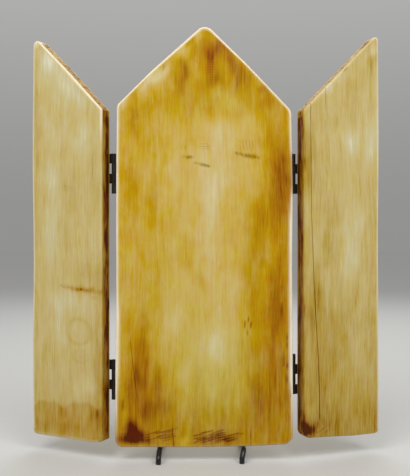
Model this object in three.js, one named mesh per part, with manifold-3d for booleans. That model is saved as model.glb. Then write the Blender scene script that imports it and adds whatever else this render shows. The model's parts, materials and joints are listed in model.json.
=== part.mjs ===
// Triptych altarpiece: a gabled centre board with a half-gabled wing hinged to each side,
// standing on a bent steel rod. The plain outer side of the boards faces -Y, and the wings
// swing towards +Y, where the hinges are. Millimetres, +Z up, Z = 0 is the table.
import * as THREE from "three";
import { mergeVertices } from "three/addons/utils/BufferGeometryUtils.js";
import Module from "manifold-3d";

const wasm = await Module();
wasm.setup();

// ---- Driving dimensions ----
const BOARD_THICKNESS = 19;
const ARRIS_EASING = 1.6; // how far the boards' sharp edges are worn down
const TOUCH_GAP = 0.3; // clearance kept between pieces that touch

const PANEL_BOTTOM = 18; // height of the centre board's lower edge over the table
const PANEL_APEX = 544.4;
const SLOW_BEND = 2500; // radius of the slight bends that hand planing left in the long edges

const LEFT_AXIS_X = -115.7;
const RIGHT_AXIS_X = 112.1;
const LEFT_WING_ANGLE = THREE.MathUtils.degToRad(27); // how far each wing is swung back
const RIGHT_WING_ANGLE = THREE.MathUtils.degToRad(21);
const LEFT_WING_SETBACK = 3.8; // from the hinge axis to the wing's inner edge
const RIGHT_WING_SETBACK = 3.5;

const HINGE_HEIGHT = 50.8;
const KNUCKLES = 4;
const BARREL_RADIUS = 2.9;
const LEAF_THICKNESS = 1.2;
const LEAF_REACH = 19; // from the hinge axis to the leaf's outer edge
const LEAF_CUTBACK = 5.7; // from the axis to a leaf's edge beside the other leaf's knuckles
const PIN_CLEARANCE = 0.25;

const SCREW_HEAD_RADIUS = 2.9;
const SCREW_SHANK_RADIUS = 1.2;
const SCREW_LENGTH = 13;
const SCREW_REACH = 13.2; // from the hinge axis to the screws' centres
const SCREW_SPACING = 29;

const ROD_RADIUS = 3.4;
const ROD_SIDES = 12;
const SADDLE_RISE = 2.4; // how far the rod steps up behind the centre board
const BACK_BAR_Y = 92;

// The hinge axes stand clear behind the boards' far faces by the barrel's radius.
const AXIS_Y = BOARD_THICKNESS + TOUCH_GAP + BARREL_RADIUS;

// Each outline corner is [across, up, radius], going anticlockwise seen from the front.
const PANEL_CORNERS = [
  [-111.4, PANEL_BOTTOM, 9],
  [0, PANEL_BOTTOM, 100],
  [55, 19.3, 60],
  [109.5, 21.9, 13],
  [108.9, 150, SLOW_BEND],
  [108.3, 262, 1500],
  [109.2, 330, 1500],
  [107.2, 435.9, 13.5],
  [50, 495.8, 120],
  [0, PANEL_APEX, 12.5],
  [-68, 484, 100],
  [-109.6, 442.6, 8],
  [-110.6, 300, SLOW_BEND],
  [-110.2, 190, SLOW_BEND],
  [-111.4, 130, SLOW_BEND],
];
// A wing's corners are measured outwards from its inner edge.
const LEFT_WING_CORNERS = [
  [0, 23.6, 2.5],
  [16, 21.2, 20],
  [108.2, 21.4, 6],
  [109.7, 131, SLOW_BEND],
  [107.5, 250, SLOW_BEND],
  [110, 380, SLOW_BEND],
  [108, 543, 5.5],
  [54, 492.2, 150],
  [0, 438.5, 3],
];
const RIGHT_WING_CORNERS = [
  [0, 28, 9],
  [20, 27.7, 60],
  [72, 24.9, 100],
  [109.5, 24.8, 6],
  [109.7, 90, SLOW_BEND],
  [108.7, 270, SLOW_BEND],
  [109.8, 400, SLOW_BEND],
  [108.8, 543.6, 4],
  [51, 486.8, 100],
  [0, 437, 6],
];

// Each side's hinge axis, its wing's swing and outline, its two hinges' middle heights, and
// the knuckles, counted from the bottom, that belong to the wing's leaf.
const SIDES = [
  {
    name: "left",
    outward: -1,
    axisX: LEFT_AXIS_X,
    angle: LEFT_WING_ANGLE,
    setback: LEFT_WING_SETBACK,
    corners: LEFT_WING_CORNERS,
    hingeHeights: { upper: 359.5, lower: 98.3 },
    wingKnuckles: [1, 3],
    panelKnuckles: [0, 2],
  },
  {
    name: "right",
    outward: 1,
    axisX: RIGHT_AXIS_X,
    angle: RIGHT_WING_ANGLE,
    setback: RIGHT_WING_SETBACK,
    corners: RIGHT_WING_CORNERS,
    hingeHeights: { upper: 359.1, lower: 105.3 },
    wingKnuckles: [0, 2],
    panelKnuckles: [1, 3],
  },
];

// The rod's two arms: where each runs under the centre board and where its front foot stands.
const ARMS = [
  { name: "left", x: -56.4, footX: -57.2, footY: -9.4 },
  { name: "right", x: 48, footX: 45.6, footY: -5.5 },
];

// ---- Materials ----
const golden = new THREE.MeshStandardMaterial({ color: 0xc08a3a, roughness: 0.5, metalness: 0 });
const tan = new THREE.MeshStandardMaterial({ color: 0xc8b078, roughness: 0.55, metalness: 0 });
const blackIron = new THREE.MeshStandardMaterial({ color: 0x14110f, roughness: 0.5, metalness: 0.9 });
const blackRod = new THREE.MeshStandardMaterial({ color: 0x101012, roughness: 0.3, metalness: 0.8 });

// ---- Joining and cutting ----
function toSolid(geometry) {
  const bare = geometry.clone();
  bare.deleteAttribute("normal");
  bare.deleteAttribute("uv");
  const merged = mergeVertices(bare, 1e-4);
  const mesh = new wasm.Mesh({
    numProp: 3,
    vertProperties: new Float32Array(merged.attributes.position.array),
    triVerts: new Uint32Array(merged.index.array),
  });
  return new wasm.Manifold(mesh);
}

function toGeometry(solid) {
  const mesh = solid.getMesh();
  const geometry = new THREE.BufferGeometry();
  geometry.setAttribute("position", new THREE.BufferAttribute(mesh.vertProperties, 3));
  geometry.setIndex(new THREE.BufferAttribute(mesh.triVerts, 1));
  geometry.computeVertexNormals();
  return geometry;
}

function cutAll(geometry, cutters) {
  const cut = cutters.reduce((solid, cutter) => solid.subtract(toSolid(cutter)), toSolid(geometry));
  return toGeometry(cut);
}

// ---- Boards ----
// A closed outline whose corners are arcs of the given radii.
function roundedShape(corners, stepsPerCorner = 6) {
  const points = [];
  corners.forEach(([x, y, radius], i) => {
    const here = new THREE.Vector2(x, y);
    const before = new THREE.Vector2(...corners.at(i - 1).slice(0, 2)).sub(here).normalize();
    const after = new THREE.Vector2(...corners[(i + 1) % corners.length].slice(0, 2)).sub(here).normalize();
    const halfAngle = Math.acos(before.dot(after)) / 2;
    const sweep = (Math.PI - 2 * halfAngle) * Math.sign(after.cross(before)); // a hollow bends back
    const centre = before.clone().add(after).normalize().multiplyScalar(radius / Math.sin(halfAngle)).add(here);
    const start = before.multiplyScalar(radius / Math.tan(halfAngle)).add(here).sub(centre);
    for (let k = 0; k <= stepsPerCorner; k += 1) {
      points.push(start.clone().rotateAround(new THREE.Vector2(), (sweep * k) / stepsPerCorner).add(centre));
    }
  });
  return new THREE.Shape(points);
}

// A board standing in the XZ plane with eased arrises, its front face on y = 0.
function boardGeometry(corners) {
  const board = new THREE.ExtrudeGeometry(roundedShape(corners), {
    depth: BOARD_THICKNESS - 2 * ARRIS_EASING,
    bevelThickness: ARRIS_EASING,
    bevelSize: ARRIS_EASING,
    bevelOffset: -ARRIS_EASING,
    bevelSegments: 2,
  });
  board.rotateX(Math.PI / 2);
  board.translate(0, BOARD_THICKNESS - ARRIS_EASING, 0);
  return board;
}

// A left-hand wing's outline is the right-hand one's, mirrored and kept anticlockwise.
function wingCorners(side) {
  const placed = side.corners.map(([across, up, radius]) => [
    side.outward * (side.setback + across),
    up,
    radius,
  ]);
  return side.outward > 0 ? placed : placed.reverse();
}

// ---- Screws ----
// A countersunk wood screw along -Y with its head's flat top on y = 0.
const SCREW_HEAD_DEPTH = 1.5;
const SCREW_PROFILE = [
  [0, -SCREW_LENGTH],
  [SCREW_SHANK_RADIUS, -SCREW_LENGTH + 3],
  [SCREW_SHANK_RADIUS, -SCREW_HEAD_DEPTH],
  [SCREW_HEAD_RADIUS, -0.2],
  [SCREW_HEAD_RADIUS, 0],
  [0, 0],
];

function screwGeometry(clearance = 0) {
  const profile = SCREW_PROFILE.map(
    ([radius, along], i) =>
      new THREE.Vector2(radius > 0 ? radius + clearance : 0, i === 0 ? along - clearance : along),
  );
  if (clearance > 0) {
    profile[4].y = 5;
    profile[5].y = 5;
  }
  return new THREE.LatheGeometry(profile, 10);
}

// Screws stand on the leaf's far side; their places are in the hinge axis' own frame.
const SCREW_TOP_Y = -BARREL_RADIUS + LEAF_THICKNESS + 0.1;

function screwPlaces(outward) {
  return [-0.5, 0.5].map((step) => new THREE.Vector3(outward * SCREW_REACH, SCREW_TOP_Y, step * SCREW_SPACING));
}

// ---- Hinges ----
function circle(radius, sides) {
  const points = [];
  for (let i = 0; i < sides; i += 1) {
    const angle = (2 * Math.PI * (i + 0.5)) / sides;
    points.push(new THREE.Vector2(radius * Math.cos(angle), radius * Math.sin(angle)));
  }
  return points;
}

const KNUCKLE_PITCH = HINGE_HEIGHT / KNUCKLES;
const BORE_RADIUS = BARREL_RADIUS - LEAF_THICKNESS;

// One leaf about a vertical axis through the origin, centred on z = 0. The plate lies against
// the wood, tangent to the barrel, and is cut back beside the other leaf's knuckles.
function leafGeometry(outward, knuckles) {
  const plateMiddleY = -BARREL_RADIUS + LEAF_THICKNESS / 2;
  const plateWidth = LEAF_REACH - LEAF_CUTBACK;
  const plate = new THREE.BoxGeometry(plateWidth, LEAF_THICKNESS, HINGE_HEIGHT - TOUCH_GAP);
  plate.translate(outward * (LEAF_CUTBACK + plateWidth / 2), plateMiddleY, 0);
  let leaf = toSolid(plate);
  const curl = new THREE.Shape(circle(BARREL_RADIUS, 16));
  for (const index of knuckles) {
    const height = KNUCKLE_PITCH - TOUCH_GAP;
    const middle = (index + 0.5) * KNUCKLE_PITCH - HINGE_HEIGHT / 2;
    const barrel = new THREE.ExtrudeGeometry(curl, { depth: height, bevelEnabled: false });
    barrel.translate(0, 0, middle - height / 2);
    const strap = new THREE.BoxGeometry(LEAF_CUTBACK + 1, LEAF_THICKNESS, height);
    strap.translate((outward * (LEAF_CUTBACK + 1)) / 2, plateMiddleY, middle);
    leaf = leaf.add(toSolid(barrel)).add(toSolid(strap));
  }
  const bore = new THREE.CylinderGeometry(BORE_RADIUS, BORE_RADIUS, 2 * HINGE_HEIGHT, 12);
  bore.rotateX(Math.PI / 2);
  const cutters = [bore];
  for (const place of screwPlaces(outward)) {
    cutters.push(screwGeometry(TOUCH_GAP).translate(place.x, place.y, place.z));
  }
  return cutAll(toGeometry(leaf), cutters);
}

function pinGeometry() {
  const radius = BORE_RADIUS - PIN_CLEARANCE;
  const pin = new THREE.CylinderGeometry(radius, radius, HINGE_HEIGHT, 12);
  return pin.rotateX(Math.PI / 2);
}

// ---- Rod ----
// A path of straight runs whose corners are rounded by curves reaching back by the given trim.
function roundedPath(points, trim) {
  const path = new THREE.CurvePath();
  let from = points[0];
  for (let i = 1; i < points.length - 1; i += 1) {
    const corner = points[i];
    const reachIn = Math.min(trim, corner.distanceTo(points[i - 1]) / 2);
    const reachOut = Math.min(trim, corner.distanceTo(points[i + 1]) / 2);
    const start = corner.clone().lerp(points[i - 1], reachIn / corner.distanceTo(points[i - 1]));
    const end = corner.clone().lerp(points[i + 1], reachOut / corner.distanceTo(points[i + 1]));
    path.add(new THREE.LineCurve3(from, start));
    path.add(new THREE.QuadraticBezierCurve3(start, corner, end));
    from = end;
  }
  path.add(new THREE.LineCurve3(from, points.at(-1)));
  return path;
}

function rodGeometry(points, trim, steps) {
  return new THREE.ExtrudeGeometry(new THREE.Shape(circle(ROD_RADIUS, ROD_SIDES)), {
    steps,
    extrudePath: roundedPath(points, trim),
  });
}

const REST_HEIGHT = PANEL_BOTTOM - TOUCH_GAP - ROD_RADIUS; // the rod's middle under the board
const BAR_HEIGHT = ROD_RADIUS * Math.cos(Math.PI / ROD_SIDES); // the bar lies on one flat facet
const FRONT_PART_END = BOARD_THICKNESS + 7;

// The front foot rises from the table, runs under the board and steps up behind it.
function footGeometry(arm) {
  const points = [
    new THREE.Vector3(arm.footX, arm.footY, 0),
    new THREE.Vector3(arm.footX, arm.footY, 6.5),
    new THREE.Vector3(arm.x, 0.5, REST_HEIGHT),
    new THREE.Vector3(arm.x, BOARD_THICKNESS + 0.5, REST_HEIGHT),
    new THREE.Vector3(arm.x, FRONT_PART_END - 3, REST_HEIGHT + SADDLE_RISE),
    new THREE.Vector3(arm.x, FRONT_PART_END, REST_HEIGHT + SADDLE_RISE),
  ];
  return rodGeometry(points, 3.2, 22);
}

// The arm falls back to the table and turns inwards to meet the back bar.
const ARM_TURN = 14;

function armGeometry(arm) {
  const inward = -Math.sign(arm.x);
  const points = [
    new THREE.Vector3(arm.x, FRONT_PART_END + TOUCH_GAP, REST_HEIGHT + SADDLE_RISE),
    new THREE.Vector3(arm.x, FRONT_PART_END + 8, REST_HEIGHT + SADDLE_RISE),
    new THREE.Vector3(arm.x, BACK_BAR_Y - ARM_TURN - 6, BAR_HEIGHT),
    new THREE.Vector3(arm.x, BACK_BAR_Y, BAR_HEIGHT),
    new THREE.Vector3(arm.x + inward * ARM_TURN, BACK_BAR_Y, BAR_HEIGHT),
  ];
  return rodGeometry(points, 10, 24);
}

function backBarGeometry() {
  const from = ARMS[0].x + ARM_TURN + TOUCH_GAP;
  const to = ARMS[1].x - ARM_TURN - TOUCH_GAP;
  const bar = new THREE.CylinderGeometry(ROD_RADIUS, ROD_RADIUS, to - from, ROD_SIDES);
  bar.rotateY(Math.PI / ROD_SIDES);
  bar.rotateZ(Math.PI / 2);
  return bar.translate((from + to) / 2, BACK_BAR_Y, BAR_HEIGHT);
}

// ---- Assembly ----
function addMesh(parent, name, geometry, material, position = new THREE.Vector3()) {
  const mesh = new THREE.Mesh(geometry, material);
  mesh.name = name;
  mesh.position.copy(position);
  parent.add(mesh);
  return mesh;
}

// Every hole that one board needs for the screws of the leaves fixed to it.
function screwHoles(places) {
  return places.map((place) => screwGeometry(TOUCH_GAP).translate(place.x, place.y, place.z));
}

function hingeScrewPlaces(side, outward, axis) {
  return Object.values(side.hingeHeights).flatMap((height) =>
    screwPlaces(outward).map((place) => place.add(new THREE.Vector3(axis.x, axis.y, height))),
  );
}

function addLeafAndScrews(parent, hinge, part, outward, knuckles, height) {
  const middle = new THREE.Vector3(0, 0, height);
  addMesh(parent, `${hinge}_${part}_leaf`, leafGeometry(outward, knuckles), blackIron, middle);
  screwPlaces(outward).forEach((place, i) => {
    addMesh(parent, `${hinge}_${part}_screw_${i + 1}`, screwGeometry(), blackIron, place.add(middle));
  });
}

const altarpiece = new THREE.Group();

const panelHoles = SIDES.flatMap((side) =>
  hingeScrewPlaces(side, -side.outward, new THREE.Vector2(side.axisX, AXIS_Y)),
);
addMesh(altarpiece, "central_panel", cutAll(boardGeometry(PANEL_CORNERS), screwHoles(panelHoles)), golden);

for (const side of SIDES) {
  const fixed = new THREE.Group();
  fixed.position.set(side.axisX, AXIS_Y, 0);
  altarpiece.add(fixed);

  const swung = new THREE.Group();
  swung.position.copy(fixed.position);
  swung.rotation.z = side.outward * side.angle;
  altarpiece.add(swung);

  const board = boardGeometry(wingCorners(side)).translate(0, -AXIS_Y, 0);
  const wingHoles = screwHoles(hingeScrewPlaces(side, side.outward, new THREE.Vector2()));
  addMesh(swung, `${side.name}_wing`, cutAll(board, wingHoles), tan);

  for (const [level, height] of Object.entries(side.hingeHeights)) {
    const hinge = `${level}_${side.name}_hinge`;
    addLeafAndScrews(fixed, hinge, "panel", -side.outward, side.panelKnuckles, height);
    addMesh(fixed, `${hinge}_pin`, pinGeometry(), blackIron, new THREE.Vector3(0, 0, height));
    addLeafAndScrews(swung, hinge, "wing", side.outward, side.wingKnuckles, height);
  }
}

for (const arm of ARMS) {
  addMesh(altarpiece, `cradle_${arm.name}_front_foot`, footGeometry(arm), blackRod);
  addMesh(altarpiece, `cradle_${arm.name}_arm`, armGeometry(arm), blackRod);
}
addMesh(altarpiece, "cradle_back_bar", backBarGeometry(), blackRod);

// The origin is on the table, under the middle of the whole work.
altarpiece.updateMatrixWorld(true);
const middle = new THREE.Box3().setFromObject(altarpiece, true).getCenter(new THREE.Vector3());
altarpiece.position.set(-middle.x, -middle.y, 0);

export default altarpiece;
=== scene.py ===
"""Looks of the triptych altarpiece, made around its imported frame.

Every board is worked out in its own flat frame, in millimetres: across the board, into its depth
from the face that shows, and up. It is then stood in the frame's place, in metres.
"""
import json
import math

import bpy
import numpy as np
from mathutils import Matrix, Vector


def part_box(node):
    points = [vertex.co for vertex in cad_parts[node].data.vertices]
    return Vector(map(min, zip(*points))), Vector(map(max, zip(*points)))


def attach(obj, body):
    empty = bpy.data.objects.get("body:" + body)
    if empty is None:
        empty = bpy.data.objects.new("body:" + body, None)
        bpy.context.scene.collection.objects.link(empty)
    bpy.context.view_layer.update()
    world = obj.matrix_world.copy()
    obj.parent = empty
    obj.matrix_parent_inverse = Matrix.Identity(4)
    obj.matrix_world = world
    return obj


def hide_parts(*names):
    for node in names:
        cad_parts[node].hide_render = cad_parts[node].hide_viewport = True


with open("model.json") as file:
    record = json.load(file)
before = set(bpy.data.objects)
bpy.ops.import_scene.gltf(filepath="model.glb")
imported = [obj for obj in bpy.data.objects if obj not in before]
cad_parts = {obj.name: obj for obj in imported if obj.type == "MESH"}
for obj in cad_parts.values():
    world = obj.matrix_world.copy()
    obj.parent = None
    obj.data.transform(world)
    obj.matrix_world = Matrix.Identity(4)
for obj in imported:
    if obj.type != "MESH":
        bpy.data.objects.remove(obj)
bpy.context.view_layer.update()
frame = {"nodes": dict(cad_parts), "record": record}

MM = 0.001

# ---- Driving sizes, in millimetres ----
THICKNESS = 19.0
AXIS_DEPTH = 22.2  # from a board's face to the hinge axes
LEFT_SETBACK = 3.8  # from a hinge axis to the wing's inner edge
RIGHT_SETBACK = 3.5
CENTRE_FROM_LEFT_AXIS = 115.7

GRAIN_STEP = 2.3  # mesh spacing across the grain
LENGTH_STEP = 3.2  # mesh spacing along the grain
FINE_STEP = 0.75  # and along it where knots, ripples and scratches lie
OUTLINE_STEP = 1.5  # spacing along an outline's straight runs
ARC_POINTS = 16  # in each corner of an outline
ROLL_STEPS = 8  # across the quarter circle at a face's rim
BAND_RINGS = 7  # around the edge, between the face and the back
LEAST_GAP = 0.02  # closer columns or rows are left out
POINTS_AT_ONCE = 4000  # measured against an outline in one go, to spare memory

joints = {joint["name"]: joint for joint in frame["record"]["behaviour"]["joints"]}
left_axis = np.array(joints["left_wing_hinge"]["pos_m"]) / MM
right_axis = np.array(joints["right_wing_hinge"]["pos_m"]) / MM
left_swing = math.radians(-joints["left_wing_hinge"]["range_deg"][0])
right_swing = math.radians(-joints["right_wing_hinge"]["range_deg"][0])
FRONT_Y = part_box("central_panel")[0][1] / MM
CENTRE_X = left_axis[0] + CENTRE_FROM_LEFT_AXIS


# ---- Colour and nodes ----
def linear(hex_colour):
    """An sRGB hex value as opaque linear light."""
    parts = [int(hex_colour[i : i + 2], 16) / 255 for i in (0, 2, 4)]
    return [p / 12.92 if p <= 0.04045 else ((p + 0.055) / 1.055) ** 2.4 for p in parts] + [1.0]


def node(tree, kind, inputs=None, **settings):
    """Adds a node with its settings; an input is a value or another node's output."""
    made = tree.nodes.new(kind)
    for name, value in settings.items():
        setattr(made, name, value)
    for name, value in (inputs or {}).items():
        if isinstance(value, bpy.types.NodeSocket):
            tree.links.new(value, made.inputs[name])
        else:
            made.inputs[name].default_value = value
    return made


def new_material(name):
    """An empty material with its Principled shader: (material, tree, shader)."""
    material = bpy.data.materials.new(name)
    material.use_nodes = True
    tree = material.node_tree
    return material, tree, tree.nodes["Principled BSDF"]


# ---- Outlines ----
def smooth(x, low, high):
    """Rises from 0 at low to 1 at high along 3t^2 - 2t^3."""
    t = np.clip((x - low) / (high - low), 0, 1)
    return t * t * (3 - 2 * t)


def rounded_outline(corners):
    """A closed outline through arcs of each corner's radius, given anticlockwise as
    [across, up, radius]; an arc turns the other way at a hollow corner. The straight runs
    between are cut into even steps."""
    corners = np.array(corners, float)
    arcs = []
    count = len(corners)
    for i in range(count):
        here, radius = corners[i, :2], corners[i, 2]
        before = corners[i - 1, :2] - here
        after = corners[(i + 1) % count, :2] - here
        before /= np.linalg.norm(before)
        after /= np.linalg.norm(after)
        half = math.acos(np.clip(before @ after, -1, 1)) / 2
        sweep = (math.pi - 2 * half) * np.sign(after[0] * before[1] - after[1] * before[0])
        middle = here + (before + after) / np.linalg.norm(before + after) * radius / math.sin(half)
        start = here + before * radius / math.tan(half) - middle
        turn = np.linspace(0, sweep, ARC_POINTS)
        arcs.append(middle + np.stack([
            start[0] * np.cos(turn) - start[1] * np.sin(turn),
            start[0] * np.sin(turn) + start[1] * np.cos(turn),
        ], 1))
    run = []
    for i in range(count):
        gap_from, gap_to = arcs[i][-1], arcs[(i + 1) % count][0]
        pieces = max(2, int(np.linalg.norm(gap_to - gap_from) / OUTLINE_STEP))
        run.append(arcs[i])
        run.append(gap_from + (gap_to - gap_from) * np.linspace(0, 1, pieces + 1)[1:-1, None])
    return np.concatenate(run)


def nearest_edge(across, up, outline):
    """Each point's distance to the closed outline's nearest straight piece."""
    points = np.stack([across.ravel(), up.ravel()], 1)
    span = np.roll(outline, -1, 0) - outline
    length2 = (span**2).sum(1)
    found = np.empty(len(points))
    for low in range(0, len(points), POINTS_AT_ONCE):
        part = points[low : low + POINTS_AT_ONCE, None, :] - outline[None]
        t = np.clip((part * span).sum(2) / length2, 0, 1)
        found[low : low + POINTS_AT_ONCE] = np.sqrt(((part - t[..., None] * span) ** 2).sum(2).min(1))
    return found.reshape(across.shape)


# ---- Board surface ----
BESIDE_A_CRACK = np.array([-1.2, -0.7, -0.35, -0.18, 0, 0.18, 0.35, 0.7, 1.2])
PULL_FULL = 2  # within this of its crack, a column slides with it wholly
PULL_ENDS = 16  # and beyond this it doesn't slide
PULL_PAST_ENDS = 40  # how far past a crack's ends the columns still slide
PULL_FROM_SIDE = 5  # a column this near a board's side starts to be held
CRACK_CLOSES = 6  # a crack's depth closes over this length at either end
FACE_SINK = 0.1  # keeps the uneven faces within the board's thickness


def stations(low, high, step, easing, finer=(), lines=()):
    """Places from low to high: a quarter circle's at both ends, even steps between, closer ones in
    each finer stretch (from, to, step) and closest beside each line."""
    turn = easing * (1 - np.cos(np.linspace(0, math.pi / 2, ROLL_STEPS)))
    even = np.linspace(low + easing, high - easing, int((high - low) / step))
    places = [low + turn, high - turn]
    for start, end, fine in finer:
        even = even[(even < start) | (even > end)]
        places.append(np.arange(start, end, fine))
    places += [even] + [line + BESIDE_A_CRACK for line in lines]
    merged = np.unique(np.concatenate(places))
    merged = merged[(merged >= low) & (merged <= high)]
    return merged[np.concatenate([[True], np.diff(merged) > LEAST_GAP])]


def board_grid(outline, ends, columns, rows, cracks):
    """A grid over the outline: a Coons patch between its lower, right, upper and left runs, so that
    the columns follow the grain. ends are the runs' ends as places along the outline. Beside a
    crack the columns slide onto its path, by its offset as a share of the width, which fades
    14 mm to either side, 40 mm past the crack's ends and 5 mm from the board's sides."""
    loop = np.concatenate([outline, outline])

    def run(first, last):
        return loop[first : last + 1 if last >= first else last + 1 + len(outline)]

    lower, right, upper, left = (run(ends[i], ends[(i + 1) % 4]) for i in range(4))
    upper, left = upper[::-1], left[::-1]

    def along(curve, axis, share):
        place = curve[0, axis] + (curve[-1, axis] - curve[0, axis]) * share
        other = np.interp(place, curve[:, axis], curve[:, 1 - axis])
        return (place, other) if axis == 0 else (other, place)

    v = ((rows - rows[0]) / (rows[-1] - rows[0]))[:, None]
    left_run, right_run = along(left, 1, v), along(right, 1, v)

    def patch(u):
        low_run, high_run = along(lower, 0, u), along(upper, 0, u)
        return [
            (1 - v) * low_run[k] + v * high_run[k] + (1 - u) * left_run[k] + u * right_run[k]
            - (1 - u) * ((1 - v) * lower[0, k] + v * upper[0, k])
            - u * ((1 - v) * lower[-1, k] + v * upper[-1, k])
            for k in (0, 1)
        ]

    u = ((columns - columns[0]) / (columns[-1] - columns[0]))[None] + 0 * v
    across, up = patch(u)
    width = across[:, -1:] - across[:, :1]
    inside = smooth(np.minimum(across - across[:, :1], across[:, -1:] - across), 0, PULL_FROM_SIDE)
    shifted = u
    for crack in cracks:
        column = np.abs(columns - crack["home"]).argmin()
        level = up[:, column : column + 1]
        offset = np.interp(level, crack["up"], crack["across"]) - across[:, column : column + 1]
        offset *= smooth(level, crack["up"][0] - PULL_PAST_ENDS, crack["up"][0])
        offset *= 1 - smooth(level, crack["up"][-1], crack["up"][-1] + PULL_PAST_ENDS)
        away = np.abs(across - across[:, column : column + 1])
        shifted = shifted + offset / width * (1 - smooth(away, PULL_FULL, PULL_ENDS)) * inside
    return patch(shifted)


def crack_depth(across, up, cracks):
    """How open each crack is at a point, from 0 to 1: a V across its width, closing over its last
    6 mm at either end."""
    depth = np.zeros_like(across)
    for crack in cracks:
        path = np.interp(up, crack["up"], crack["across"])
        ends = np.clip(np.minimum(up - crack["up"][0], crack["up"][-1] - up) / CRACK_CLOSES, 0, 1)
        shape = np.clip(1 - np.abs(across - path) / crack["half_width"], 0, 1)
        depth = np.maximum(depth, shape * np.sqrt(ends) * crack["share"])
    return depth


def rolling(across, up, seed):
    """A planed face's slow unevenness, in millimetres: a few crossed sine waves."""
    rng = np.random.default_rng(seed)
    total = np.zeros_like(across)
    for length, size in ((140, 0.13), (83, 0.08), (47, 0.05), (23, 0.025)):
        for _ in range(3):
            turn, phase = rng.uniform(-0.5, 0.5), rng.uniform(0, 2 * math.pi)
            along = across * math.cos(turn) + up * math.sin(turn) * 0.5
            total += size * np.sin(2 * math.pi * along / length + phase) / 2
    return total


def board_mesh(name, board):
    """A closed board: a face and a back, each a grid that rolls over at its rim through a quarter
    circle, and a band of rings around the edge between them."""
    outline = rounded_outline(board["corners"])
    ends = [int(np.argmin(((outline - np.array(end)) ** 2).sum(1))) for end in board["patch_ends"]]
    low, high = outline.min(0), outline.max(0)
    easing = board["easing"]
    cracks = board["cracks"]
    homes = [crack["home"] for crack in cracks]
    columns = stations(low[0], high[0], GRAIN_STEP, easing, board["fine_columns"], homes)
    rows = stations(low[1], high[1], LENGTH_STEP, easing, board["fine_rows"])
    across, up = board_grid(outline, ends, columns, rows, cracks)
    inset = nearest_edge(across, up, outline)
    rolled = easing - np.sqrt(np.maximum(easing**2 - np.clip(easing - inset, 0, easing) ** 2, 0))
    flatness = smooth(inset, 1, 12)
    open_share = crack_depth(across, up, cracks)
    face = rolled + flatness * (rolling(across, up, board["seed"]) + FACE_SINK)
    face = face + open_share * board["crack_depth"] + board["relief"](across, up)
    back = THICKNESS - rolled - flatness * (rolling(across, up, board["seed"] + 9) + FACE_SINK)

    index = np.arange(across.size).reshape(across.shape)
    loop = np.concatenate([index[0], index[1:, -1], index[-1, -2::-1], index[-2:0:-1, 0]])
    heights = np.linspace(easing, THICKNESS - easing, BAND_RINGS + 2)[1:-1]
    all_across, all_up = (
        np.concatenate([grid.ravel(), grid.ravel(), np.tile(grid.ravel()[loop], BAND_RINGS)])
        for grid in (across, up))
    all_depth = np.concatenate([face.ravel(), back.ravel(), np.repeat(heights, len(loop))])
    all_inset = np.concatenate([inset.ravel(), inset.ravel(), np.zeros(BAND_RINGS * len(loop))])

    quads = np.stack([index[:-1, :-1], index[:-1, 1:], index[1:, 1:], index[1:, :-1]], -1)
    quads = quads.reshape(-1, 4)
    rings = [2 * across.size + ring * len(loop) + np.arange(len(loop)) for ring in range(BAND_RINGS)]
    chain = [loop, *rings, loop + across.size]
    band = [
        np.stack([near, far, np.roll(far, -1), np.roll(near, -1)], -1)
        for near, far in zip(chain[:-1], chain[1:])
    ]
    faces = np.concatenate([quads, quads[:, ::-1] + across.size] + band)
    if board["outward"] < 0:
        faces = faces[:, ::-1]

    out = board["outward"] * (all_across + board["setback"])
    deep = all_depth - board["axis_depth"]
    cos, sin = math.cos(board["swing"]), math.sin(board["swing"]) * board["outward"]
    world = np.stack([
        board["origin"][0] + out * cos - deep * sin,
        board["origin"][1] + out * sin + deep * cos,
        all_up,
    ], 1) * MM

    mesh = bpy.data.meshes.new(name)
    mesh.from_pydata(world, [], faces)
    mesh.shade_smooth()
    crack_share = np.concatenate([open_share.ravel(), np.zeros(len(world) - across.size)])
    fields = {
        # The stain field also holds painted shade: towards the foot, in the gaps beside the hinges and on
        # the wings' slopes. The cream rim field is partly a painted highlight.
        "stain": board["stain"](all_across, all_up, all_depth),
        "worn": board["worn"](all_across, all_up, all_depth, all_inset),
        "lean": board["lean"](all_across, all_up),
        "dark": np.maximum(board["dark"](all_across, all_up, all_depth), crack_share),
    }
    for field, values in fields.items():
        attribute = mesh.attributes.new(field, "FLOAT", "POINT")
        attribute.data.foreach_set("value", values.astype(np.float32))
    place = mesh.attributes.new("place", "FLOAT_VECTOR", "POINT")
    pattern = np.stack([grain_flow(all_across, all_up), all_depth, all_up], 1)
    place.data.foreach_set("vector", pattern.astype(np.float32).ravel())
    mesh.update()
    mesh.validate()
    piece = bpy.data.objects.new(name, mesh)
    bpy.context.scene.collection.objects.link(piece)
    return piece


# ---- How stain, wear and marks are laid on ----
def ragged(across, up):
    """The same places shaken as a wiping rag leaves a patch's edge: crossed sine waves move them
    up to 2 mm across and 5 mm along."""
    sideways = 1.3 * np.sin(up / 7.1 + 0.9 * np.sin(across / 9.0))
    sideways += 0.8 * np.sin(up / 3.7 + across / 13 + 2)
    lengthways = 3.0 * np.sin(across / 4.6 + 0.7 * np.sin(up / 23))
    lengthways += 1.8 * np.sin(across / 2.3 + up / 31 + 1)
    return across + sideways, up + lengthways


def wash(across, up, patches):
    """Patches of stain: the sum of amount * exp(-r^3), where r is the distance from a patch's
    middle in half widths and half heights, turned anticlockwise by its tilt in radians."""
    total = np.zeros_like(across)
    for middle_across, middle_up, width, height, amount, *tilt in patches:
        turn = tilt[0] if tilt else 0.0
        x, z = across - middle_across, up - middle_up
        x, z = x * math.cos(turn) + z * math.sin(turn), z * math.cos(turn) - x * math.sin(turn)
        total += amount * np.exp(-(((x / width) ** 2 + (z / height) ** 2) ** 1.5))
    return total


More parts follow.
